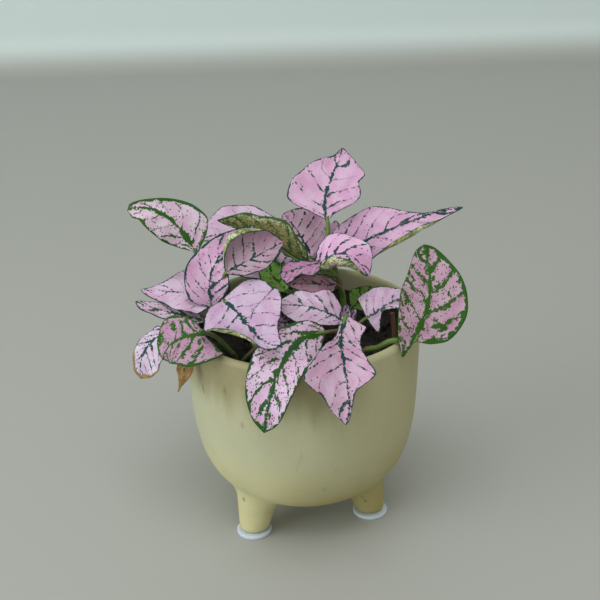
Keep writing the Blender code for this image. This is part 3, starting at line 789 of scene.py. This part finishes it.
# A leaf blade: a grid laid on the leaf's surface, given its colour fields and a thickness
def blade(name, shape, seed):
    long = np.linalg.norm(np.array(shape["rib"][-1]) - np.array(shape["rib"][0]))
    rows, half = (ALONG, HALF_ACROSS) if long > SMALL_LEAF else (SMALL_ALONG, SMALL_ACROSS)
    deselect()
    bpy.ops.mesh.primitive_grid_add(x_subdivisions=2 * half, y_subdivisions=rows, size=2)
    item = bpy.context.object
    item.name = name
    mesh = item.data
    spread = np.array([vertex.co for vertex in mesh.vertices])
    row = np.rint((spread[:, 1] + 1) / 2 * rows).astype(int)
    column = np.rint((spread[:, 0] + 1) / 2 * 2 * half).astype(int)
    at = np.linspace(0, 1, rows + 1)
    grid = leaf_grid(shape, at, half)
    along, across, edge, phase, gap = leaf_fields(shape, at, half, grid)
    grid = quilt(half, grid, across, edge, phase)
    place = grid[row, column] * MM + [AXIS.x, AXIS.y, 0]
    mesh.vertices.foreach_set("co", place.astype(np.float32).ravel())
    across = across[row, column]
    at = at[row]
    margin = np.broadcast_to(shape["margin"], 2)[(across > 0).astype(int)]
    dry = shape["dry"] * np.clip(1.6 * at - 0.6, 0.12, 1)
    set_field(mesh, "flat", along[row, column], across, edge[row, column])
    set_field(mesh, "veins", phase[row, column], gap[row, column], seed)
    set_field(mesh, "widths", shape["midrib"] * np.clip(1.25 - at, 0.1, 1), shape["vein"], margin)
    set_field(mesh, "habit", shape["speck"], shape["fresh"], dry)
    set_field(mesh, "tint", *shape["tint"], shape["gloss"])
    set_field(mesh, "under", *shape["under"], 1.0)
    for skin in FOLIAGE:
        mesh.materials.append(skin)
    modify(item, "SOLIDIFY", thickness=BLADE_THICK * MM, offset=0.0, material_offset=1)
    bpy.ops.object.shade_smooth()
    return item


# A round stalk along a smooth line, thick at its foot and thin at its end. Its faces take
# the last of its materials.
def round_stalk(name, points, thick, thin, sides, skins):
    line = smooth_line(points, 6 * (len(points) - 1) + 1)
    curve = bpy.data.curves.new(name, "CURVE")
    curve.dimensions = "3D"
    curve.bevel_depth = 1.0
    curve.bevel_resolution = sides
    curve.use_fill_caps = True
    spline = curve.splines.new("POLY")
    spline.points.add(len(line) - 1)
    for k, point in enumerate(line):
        spline.points[k].co = (*placed(*point), 1.0)
        spline.points[k].radius = (thick + (thin - thick) * (k / (len(line) - 1))) * MM
    spline.use_smooth = True
    item = new_object(name, curve)
    bpy.ops.object.convert(target="MESH")
    for skin in skins:
        item.data.materials.append(skin)
    for face in item.data.polygons:
        face.material_index = len(skins) - 1
    bpy.ops.object.shade_smooth()
    return item


# Green markings of a leaf, as a mask, from its fields: a torn midrib, side veins that break
# up towards the margin, a thin margin that thickens in places, blotches and specks. The
# group also gives the lines of the side veins, the fine net between them and soft clouds.
def make_markings():
    group = bpy.data.node_groups.new("leaf_markings", "ShaderNodeTree")
    made = Shading(group)
    times, plus, less, line, noise_at = made.times, made.plus, made.less, made.line, made.noise
    along, across, edge = made.field("flat")
    phase, gap, seed = made.field("veins")
    rib, vein, margin = made.field("widths")
    speck = made.field("habit")[0]

    place = made.vector(along, across, times(seed, 7.3))
    cloud = noise_at(place, 0.17, 1)
    patch = noise_at(place, 0.22, 2)
    torn = noise_at(place, 0.8, 3, 0.7)
    cells = made.cells(place, 1.25)
    cell = made.node("SeparateColor", {0: cells["Color"]}).outputs
    jag = plus(line(torn, 2.6, -1.3), line(cell[0], 0.9, -0.45))

    to_rib = made.calc("ABSOLUTE", across)
    reach = made.calc("DIVIDE", to_rib, plus(plus(to_rib, edge), 0.1))
    bent = plus(phase, line(noise_at(place, 0.16, 1), 0.5, -0.25))
    near = made.calc("FLOOR", plus(bent, 0.5))
    to_vein = times(made.calc("ABSOLUTE", less(bent, near)), gap)
    which = made.vector(near, seed, made.calc("SIGN", across))
    luck = made.node("TexWhiteNoise", {"Vector": which}, noise_dimensions="3D").outputs["Value"]

    on_rib = less(times(rib, line(patch, 3.4, -0.7)), less(to_rib, times(jag, 0.75)))
    strength = times(line(reach, -1.25, 1.6), line(luck, 1.5, 0.1))
    vein_room = times(times(vein, strength), line(noise_at(place, 0.38, 2), 5.5, -1.9))
    on_vein = less(less(vein_room, less(to_vein, times(jag, 0.5))), line(vein, -0.2, 0.16))
    edge_room = made.most("MAXIMUM", times(margin, line(patch, 5.0, -1.3)), 0.22)
    on_edge = less(edge_room, less(edge, times(jag, 0.35)))
    close = made.most("MINIMUM", times(to_rib, 0.7), edge, to_vein)
    streak = made.vector(times(bent, 2.6), times(to_rib, 0.16), seed)
    blotch = plus(times(noise_at(place, 0.5, 4, 0.65), 0.55), times(noise_at(streak, 1.0, 2), 0.45))
    blotch = plus(blotch, times(jag, 0.035))
    on_blotch = times(less(blotch, plus(line(speck, -0.20, 0.70), times(close, 0.035))), 6.0)
    chance = times(speck, line(close, -0.10, 0.42))
    on_speck = made.most("MINIMUM", times(less(chance, cell[1]), 3.0), line(cells["Distance"], -1.0, 0.42))
    best = made.most("MAXIMUM", on_rib, on_vein, on_edge, on_speck, on_blotch)

    net = made.cells(place, 0.62, feature="DISTANCE_TO_EDGE")["Distance"]
    results = {"Green": made.ramp(best, -0.05, 0.13), "Line": made.ramp(to_vein, 0.45, 0.05),
               "Net": made.ramp(net, 0.0, 0.16), "Cloud": cloud}
    for name in results:
        group.interface.new_socket(name=name, in_out="OUTPUT", socket_type="NodeSocketFloat")
    out = group.nodes.new("NodeGroupOutput")
    for name, value in results.items():
        group.links.new(value, out.inputs[name])
    return group


markings = make_markings()


# Upper side: satin pink skin, deeper where the clouds are dense and beside the veins, with
# markings between blue-green and fresh green, and brown where it has dried
def make_leaf_top():
    made = Material("leaf_upper_side")
    blend, ramp, times, line = made.blend, made.ramp, made.times, made.line
    marks = made.node("Group", node_tree=markings).outputs
    tint, gloss = made.attribute("tint", "Color"), made.attribute("tint", "Alpha")
    fresh, dry = made.field("habit")[1:]
    flat = made.attribute("flat")
    edge = made.split(flat)[2]
    deep = blend(1.0, tint, (0.93, 0.78, 0.88), "MULTIPLY")
    pink = blend(ramp(marks["Cloud"], 0.36, 0.68), tint, deep)
    pink = blend(times(marks["Line"], 0.16), pink, (0.34, 0.15, 0.25))
    pink = blend(line(marks["Net"], -0.08, 0.08), pink, (0.35, 0.14, 0.24))
    ripe = made.calc("ADD", fresh, line(marks["Cloud"], 1.6, -0.8), clamp=True)
    green = blend(times(ripe, ramp(fresh, 0.0, 0.3)), BLUE_GREEN, FRESH_GREEN)
    colour = blend(marks["Green"], pink, green)
    brown = blend(marks["Cloud"], (0.20, 0.095, 0.03), (0.55, 0.36, 0.13))
    brown = blend(ramp(made.noise(flat, 1.6, 3, 0.7), 0.48, 0.62, 0.6), brown, (0.10, 0.042, 0.015))
    parched = times(dry, line(marks["Cloud"], 5.0, 0.2))
    colour = blend(ramp(made.less(parched, edge), 0.0, 0.5), colour, brown)
    rough = line(gloss, -0.14, line(marks["Cloud"], 0.2, 0.38))
    rough = line(marks["Green"], 0.18, rough)
    relief = line(marks["Net"], 0.5, times(marks["Line"], -0.6))
    return made.finish(colour, rough, (relief, 0.5, 0.00018), specular=0.26, coat=times(gloss, 0.35),
                       coat_rough=0.28, soft=0.12, soft_radius=(0.0016, 0.0008, 0.0010))


# Underside: duller, cream to yellow-green along the margin, with raised side veins
def make_leaf_under():
    made = Material("leaf_underside")
    blend, ramp, times, line = made.blend, made.ramp, made.times, made.line
    marks = made.node("Group", node_tree=markings).outputs
    flat = made.attribute("flat")
    olive = ramp(marks["Cloud"], 0.40, 0.62)
    cream = blend(olive, (0.66, 0.69, 0.44), (0.36, 0.40, 0.13))
    skin = blend(times(olive, 0.45), made.attribute("under", "Color"), (0.24, 0.23, 0.09))
    colour = blend(ramp(made.split(flat)[2], 3.4, 1.4), skin, cream)
    colour = blend(ramp(made.noise(flat, 1.1, 3, 0.7), 0.49, 0.56, 0.8), colour, (0.075, 0.13, 0.018))
    colour = blend(times(marks["Line"], 0.4), colour, (0.20, 0.20, 0.08))
    colour = blend(times(marks["Green"], 0.9), colour, (0.03, 0.10, 0.02))
    relief = line(marks["Net"], 0.4, times(marks["Line"], 0.9))
    return made.finish(colour, line(marks["Cloud"], 0.15, 0.5), (relief, 0.6, 0.00025),
                       soft=0.12, soft_radius=(0.0012, 0.0010, 0.0006))


# Stems and petioles: fresh green, flushed reddish in places
def make_green_bark():
    made = Material("green_stem")
    place = made.place()
    flush = made.ramp(made.noise(place, 90, 2), 0.5, 0.7)
    fine = made.noise(place, 900, 2)
    colour = made.blend(flush, (0.11, 0.20, 0.035), (0.16, 0.075, 0.05))
    colour = made.blend(made.ramp(fine, 0.6, 0.8), colour, (0.24, 0.30, 0.10))
    return made.finish(colour, 0.45, (fine, 0.3, 0.0002))


FOLIAGE = [make_leaf_top(), make_leaf_under(), make_green_bark()]


# A leafy stem: its stalks, given by their points and how thick they are at the foot and at
# the end, and each leaf with a petiole that runs on as the midrib
def leafy_stem(name, node, stalks, leaves):
    pieces = [round_stalk(f"{name}_stalk_{k}", *row, 4, FOLIAGE) for k, row in enumerate(stalks)]
    for k, shape in enumerate(leaves):
        pieces.append(blade(f"{name}_leaf_{k}", shape, k + len(name)))
        rib = through(shape["rib"], np.array([0.0, 0.1, 0.22, 0.34, 0.5]))
        face = np.array(shape["face"], float)
        rib -= face / np.linalg.norm(face) * np.array([[0.0], [0.3], [0.45], [0.5], [0.4]])
        points = [*shape["petiole"], *rib]
        pieces.append(round_stalk(f"{name}_petiole_{k}", points, PETIOLE, RIB_END, 3, FOLIAGE))
    made = join(pieces, name)
    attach(made, "root")
    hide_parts(node)


leafy_stem("tallest_stem", "stem_main", [
    ([(17, -5, 70), (18, -6, 95), (17, -5, 108), (14, -1, 118), (12, 3, 128), (12, 4.5, 133)], 1.5, 1.0),
], [
    leaf([(12, 3, 128)], [(12, 5, 135), (11.5, 11, 143.5), (14.5, 16.5, 150.5), (19.5, 22, 161)],
         (1.5, 7, 16.2, 15.4, 13.3, 11, 7.5, 2.6, 1.2), (2.6, 9.5, 13.6, 14.6, 14, 12, 13.1, 7.6, 2.6),
         (-0.1, -0.8, 0.6), wave=0.9, veins=5, shift=(0.1, 0.3), midrib=0.75),
    leaf([(17, -5, 108), (11, 1, 113)],
         [(4, 4, 116.5), (-4, 6, 120), (-15.5, 8.5, 127), (-25, 9.5, 130.5), (-34, 10, 135)],
         (5, 7.5, 10.1, 11.6, 11.3, 9.4, 8.2, 6, 3), (4.5, 8.5, 8, 7, 4), (0, 0.1, 1), fold=(80, 84),
         look=VEINED, tint=(0.5, 0.5, 0.3), under=(0.40, 0.35, 0.14), speck=0.8),
    # Painted light: this leaf lies in the shade of the leaves above it, and its tint is made paler and
    # brighter than the pale look so that it reads as lit
    leaf([(14, -1, 118), (9, 5, 118)], [(5, 10, 117), (0.5, 13, 125.5), (-6.5, 15, 135)],
         (5.5, 10.5, 11, 8, 4), (5, 11.5, 13.5, 11.5, 6), (0.05, -0.75, 0.65), look=PALE,
         tint=(0.88, 0.62, 0.82)),
    leaf([(15.5, -3, 113), (13.5, 2, 116)], [(13, 6, 118), (33.5, 2, 129.5), (48, 3, 135), (68, 5, 139)],
         (9, 12, 13.2, 12.8, 9.8, 4.6, 1.5, 1.1, 0.8), (5, 11, 12, 9, 2.8), (0, -0.6, 0.8),
         curl=(0, (0, 30, 165, 175, 60)), power=4.0, veins=7, midrib=0.8, vein=0.45),
    leaf([(15.5, -3, 113), (11, -7, 117)], [(6.5, -8, 119.5), (18.5, -11, 126.5), (27.5, -14, 117.5)],
         (5, 10, 9, 9, 4.5), (6, 13, 14, 10, 4), (0, -0.55, 0.85), curl=(0, 165), power=2.5, midrib=0.3,
         tint=(0.76, 0.49, 0.72)),
    leaf([(15.5, -3, 113), (11, -7, 119)], [(8, -9, 122.5), (0, -11, 121), (-8.5, -12, 119.5)],
         (4, 4.6, 5.2, 4.5, 3.1, 3.6, 5.6, 5.8, 3.6), (1, 1.6, 2.4, 3.5, 3.9, 4.1, 3.6, 2.7, 1.2),
         (0, -0.6, 0.8), look=DEEP),
    # Painted shade: this leaf lies under the others and has a darker, browner tint than the deep look, for
    # the shade it lies in
    leaf([(17.5, -5.5, 104), (17, -7, 109)], [(15, -7.5, 111.5), (4.5, -11, 113.7), (-6, -12, 114.7)],
         (3, 4.8, 4.8, 4, 1.8), (3, 4.4, 4.4, 4, 1.6), (0, -0.7, 0.7), look=DEEP,
         tint=(0.42, 0.24, 0.30), vein=0.15, speck=0.0),
    leaf([(17.9, -5.8, 92), (19.5, -1, 94)], [(21.5, 5, 95), (27, 8, 98.5), (30.5, 10, 102.5)],
         (3, 6, 6, 4.5, 2), (3, 6, 6, 4.5, 2), (0, -0.5, 0.85), look=GREEN),
])


# Left stem: the large standing leaf, the cupped one beside it, a green-veined one that
# reaches up and left, and two pale ones below
leafy_stem("left_stem", "stem_left", [
    ([(-26, -3, 70), (-27, -3, 92), (-30, -3, 104), (-31, -3, 114), (-33, -1.5, 118.5)], 1.4, 0.9),
], [
    leaf([(-33, -1.5, 118), (-38, -1, 120)],
         [(-43, 0, 124.5), (-46.5, 1.5, 131), (-52.5, 3, 138.5), (-61, 4.5, 143), (-70.5, 6, 142)],
         (1.4, 4.9, 8, 9.2, 9.4, 9, 7.7, 4.9, 3.8), (3.4, 8.5, 12, 11, 8.8, 6.3, 4.3, 3.2, 2.4),
         (-0.2, -0.75, 0.6), veins=5, look=VEINED,
         midrib=1.15, speck=0.75, fresh=0.95, tint=(0.69, 0.56, 0.67)),
    leaf([(-28, -3, 97), (-34, -7, 100)], [(-37, -8, 103), (-37, -8, 116.5), (-18, 0, 136)],
         (9, 11.5, 9.5, 6.5, 2.5), (5, 9.5, 6.5, 3, 1.5), (-0.3, -0.85, 0.3), veins=7, vein=0.45,
         margin=0.6, speck=0.3),
    leaf([(-31, -3, 113), (-31, -8, 115)], [(-30.5, -12, 120.5), (-20.5, -9, 124.5), (-6.5, -2, 129)],
         (10, 19, 18, 13, 5.5), (3.5, 7.5, 8.5, 6.5, 2.5), (0.1, -0.6, 0.7), fold=(28, 25),
         curl=((170, 190, 180, 150, 60), 0), power=3.6, tint=(0.52, 0.38, 0.46)),
    leaf([(-29.5, -3, 102)], [(-33, -2, 105.5), (-49, 0, 106.5), (-67.5, 2, 107.5)],
         (5.5, 10.5, 9.5, 6.5, 3), (5, 10.5, 11, 5.5, 1.5), (-0.2, -0.5, 0.85), look=PALE, vein=0.2,
         speck=0.0, midrib=0.3),
    leaf([(-27.2, -3, 93)], [(-41, -7, 96.5), (-51.5, -6.5, 99.5), (-62, -5, 102), (-69.5, -4, 105)],
         (3.5, 4.5, 4, 3.5, 2.5), (3, 4.5, 4, 3.5, 2), (-0.1, -0.4, 0.9), look=PALE, fresh=0.5),
])


# Left front stem: the arched green-veined leaf over the rim, the pale one that hangs
# beside the pot, and a small dry brown one
leafy_stem("left_front_stem", "stem_left_front", [
    ([(-26, -25, 70), (-27, -27, 87), (-28.2, -29, 92.5)], 1.3, 0.9),
], [
    leaf([(-27.3, -27.4, 90)],
         [(-39.5, -29, 101.5), (-46.5, -30, 101), (-53, -28, 96.5), (-57, -27, 89.5)],
         (12, 15.5, 16.1, 14.3, 12.2, 10.2, 8.1, 6.2, 4.7), (6.3, 8.6, 10.4, 12.2, 13.9, 16, 16.5, 9.2, 3),
         (-0.1, -0.35, 0.93), fold=(0, 0), ear=(9, 0), veins=5, look=VEINED,
         tint=(0.50, 0.32, 0.44), speck=1.0, fresh=1.1),
    leaf([(-27.3, -27.4, 90), (-36, -20, 96), (-46, -15, 97.3)],
         [(-56, -12, 95), (-64, -14.5, 89.5), (-68.5, -13, 73.5)],
         (5, 10, 11.5, 10, 5), (4.5, 4.5, 5.5, 4.5, 4), (-0.5, -0.7, 0.5), look=PALE, speck=0.35, dry=0.9,
         tint=(0.70, 0.62, 0.76)),
    leaf([(-42, -27, 100.3), (-47, -27.5, 93)], [(-47.5, -28, 89.5), (-49, -29.5, 83), (-51.5, -30, 76)],
         (3.6, 3.4, 2.6, 1.3, 0.4), (3.6, 3.4, 2.4, 1.2, 0.4), (-0.2, -0.9, 0.3), look=DRY),
])


# Centre stems: the largest leaf of the front, folded along a ridge, and the shaded one
# under it
leafy_stem("centre_stem", "stem_centre", [
    ([(-26, -28, 70), (-25.5, -29, 87), (-19, -28, 94), (-13.5, -25.5, 101)], 1.2, 0.9),
    ([(-20.5, -33, 70), (-20.5, -33, 87), (-15.5, -29, 95), (-13.5, -25.5, 100.5)], 1.1, 0.9),
], [
    leaf([(-19, -28, 94), (-25, -20, 102)],
         [(-32, -18, 111), (-26, -25, 108.5), (-20, -36, 105.9), (-8.5, -53, 107)],
         (11, 17, 18.5, 17.5, 14.5, 11, 8, 5, 3), (6, 13, 16, 14.5, 9.5, 6, 4.5, 3, 1.5),
         (-0.1, -0.45, 0.88), curl=(0, (0, 0, 150, 150, 0)), power=4.0, ear=(2, 4),
         crease=(0, (0.0, 0.1, 0.26, 0.48, 0.88, 1.0), (0.58, 0.44, 0.35, 0.31, 0.27, 0.26), 1.8),
         wave=0.9, look=PALE, midrib=0.9, tint=(0.63, 0.49, 0.66)),
    leaf([(-14.5, -26, 99.5)], [(-12.5, -24, 103.5), (-3, -25.5, 102.5), (6.5, -24, 98.5)],
         (3, 5, 5, 4, 2), (3, 6, 6.5, 5, 2.5), (0, -0.5, 0.85), look=DEEP),
])


# Front stem: two leaves that hang over the front of the rim, two glossy ones above them,
# and a pair of small bracts in the middle
leafy_stem("front_stem", "stem_front", [
    ([(17, -20, 70), (17, -21, 88), (16, -26, 98), (15, -28, 101)], 1.4, 1.0),
], [
    leaf([(15.5, -27, 100)], [(9.5, -32, 102), (-6, -46, 100), (-13, -58, 88), (-16, -61, 74)],
         (7, 11.5, 10, 8.5, 5.5), (5.5, 9, 12, 10.5, 6), (-0.2, -0.85, 0.5), look=VEINED, midrib=1.5,
         speck=0.85, fresh=0.75, tint=(0.74, 0.56, 0.74)),
    leaf([(15.5, -27, 100), (17, -25.5, 104)],
         [(18, -27, 107), (15.5, -34, 102.5), (15, -43, 99.5), (16, -54, 95.5), (17, -61, 88),
          (15.5, -63.5, 78)],
         (9.5, 8.4, 7.9, 8.4, 9.8, 11.8, 2.8, 1.2, 0.8), (1.6, 1.6, 3.8, 8.4, 13.2, 17.4, 10.6, 7.1, 3.8),
         (0.1, -0.9, 0.45), fold=(8, (0, 38, 38, 10, 0)), wave=0.5, veins=7, midrib=0.9,
         tint=(0.67, 0.475, 0.63)),
    leaf([(16, -26, 98)], [(16.5, -22, 102), (1.5, -22, 108.8), (-10, -19.5, 108.3)],
         (4.5, 7, 9.5, 8.5, 4), (6, 10, 7.5, 7, 4), (0, -0.5, 0.85), look=PALE, gloss=1.0),
    leaf([(16, -26, 98)], [(16.5, -23, 101), (18, -21.5, 105), (18, -21, 109.5)],
         (1.5, 2.5, 2.8, 2, 1), (1.5, 2.5, 2.8, 2, 1), (0, -0.85, 0.5), fold=(25, 25), wave=0, look=DEEP),
    leaf([(16, -26, 98)], [(18, -24, 100.5), (20, -22, 104), (22, -21, 107)],
         (1.5, 2.4, 2.5, 2, 1), (1.5, 2.4, 2.5, 2, 1), (0, -0.85, 0.5), fold=(25, 25), wave=0, look=DEEP),
    leaf([(16.5, -24, 94), (21, -21, 97.5)],
         [(26.5, -18, 101), (31.5, -16, 103), (37, -14, 105.5), (43, -12, 107), (49, -10, 108.5)],
         (9.2, 9.8, 10, 9.4, 8, 5.6, 3.5, 2, 1), (8, 4.4, 1.4, 2, 3.4, 4, 3.6, 2, 0.8), (0, -0.5, 0.85),
         fold=(8, (-20, -5, 0, 0, 8)), look=PALE, gloss=1.0),
])


# Right stem: one broad green-edged leaf that stands at the far right on its bright petiole
leafy_stem("right_stem", "stem_right", [
    ([(25, -27, 70), (25, -28, 86), (24.6, -29, 91.5), (30.5, -31, 94), (35, -31.8, 97),
           (40, -31.2, 97)], 1.3, 1.1),
], [
    leaf([(35, -31.8, 97), (40, -31.2, 97), (43, -30.6, 96.6)],
         [(45, -31.5, 96.5), (48, -28.5, 103), (51, -24, 109.5), (52.5, -16, 118.5), (50.5, -9, 129)],
         (2, 7.9, 11.3, 12.6, 11.9, 10.4, 8.6, 6.2, 3.8), (5.4, 12.8, 15.4, 16.3, 15.4, 13, 9.7, 6.3, 3.4),
         (0.1, -0.9, 0.35), fold=((14, 8, 8, 8, 8), 8), ear=(14, 2), veins=5, look=VEINED,
         tint=(0.54, 0.36, 0.47), speck=1.08, fresh=1.2, margin=(0.2, 1.3)),
])


# Back stem: a round pale leaf behind the left ones, a small green one, and the leaves of
# the far side
leafy_stem("back_stem", "stem_back", [
    ([(-3, 12, 70), (-3, 13, 92), (-2, 14, 106), (0, 13.5, 114)], 1.4, 0.9),
], [
    leaf([(-1, 13.5, 111), (-2, 14.5, 119)], [(-3, 16, 126), (-23, 20, 125.5), (-43, 20, 122.5)],
         (5, 10.5, 12, 10, 4.5), (4, 9, 13.5, 13.5, 7), (-0.1, -0.5, 0.85), curl=((0, 0, 60, 150, 150), 0),
         power=4.0, look=PALE),
    leaf([(-3, 13, 96), (-5, 8, 100)], [(-6, 5, 103), (-12, 8, 109.5), (-18.5, 10, 115.5)],
         (2.5, 6, 6.5, 5, 2), (2.5, 6, 6.5, 5, 2), (0, -0.5, 0.85), look=GREEN),
    leaf([(-2, 14, 103)], [(4, 18, 106.5), (12, 36, 110), (18, 54, 100)],
         (5, 11, 12, 9, 4), (5, 11, 12, 9, 4), (0.1, 0.4, 0.9)),
    leaf([(-2, 14, 101)], [(-7, 19, 105), (-15, 39, 107), (-22, 56, 96)],
         (5, 11, 12.5, 9, 4), (5, 11, 12, 9, 4), (-0.2, 0.4, 0.9), look=VEINED),
    leaf([(-2.5, 13.5, 98)], [(-12, 15, 103.5), (-28, 27, 107), (-42, 36, 102)],
         (4, 9, 10, 8, 3), (4, 9, 10, 8, 3), (-0.2, 0.1, 0.95), look=PALE),
    leaf([(-0.5, 13.5, 112)], [(4.5, 16, 120), (8, 28, 124), (9, 40, 121)],
         (4, 9, 10, 7.5, 3), (4, 9, 10, 7.5, 3), (0.1, 0.2, 0.95)),
])


# Bare stalk: an old reddish brown stem at the right that has lost its leaves
def make_old_bark():
    made = Material("old_stem_bark")
    grain = made.noise(made.scaled(made.place(), (900, 900, 160)), 1.0, 3)
    return made.finish(made.blend(grain, (0.10, 0.035, 0.025), (0.24, 0.12, 0.085)), 0.6,
                       (grain, 0.5, 0.0002))


old_stalk = round_stalk("old_bare_stalk", [(38, -14, 70), (38.5, -14, 88), (37.5, -12, 100)],
                        1.3, 1.0, 5, [make_old_bark()])
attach(old_stalk, "root")
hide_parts("stalk_bare")
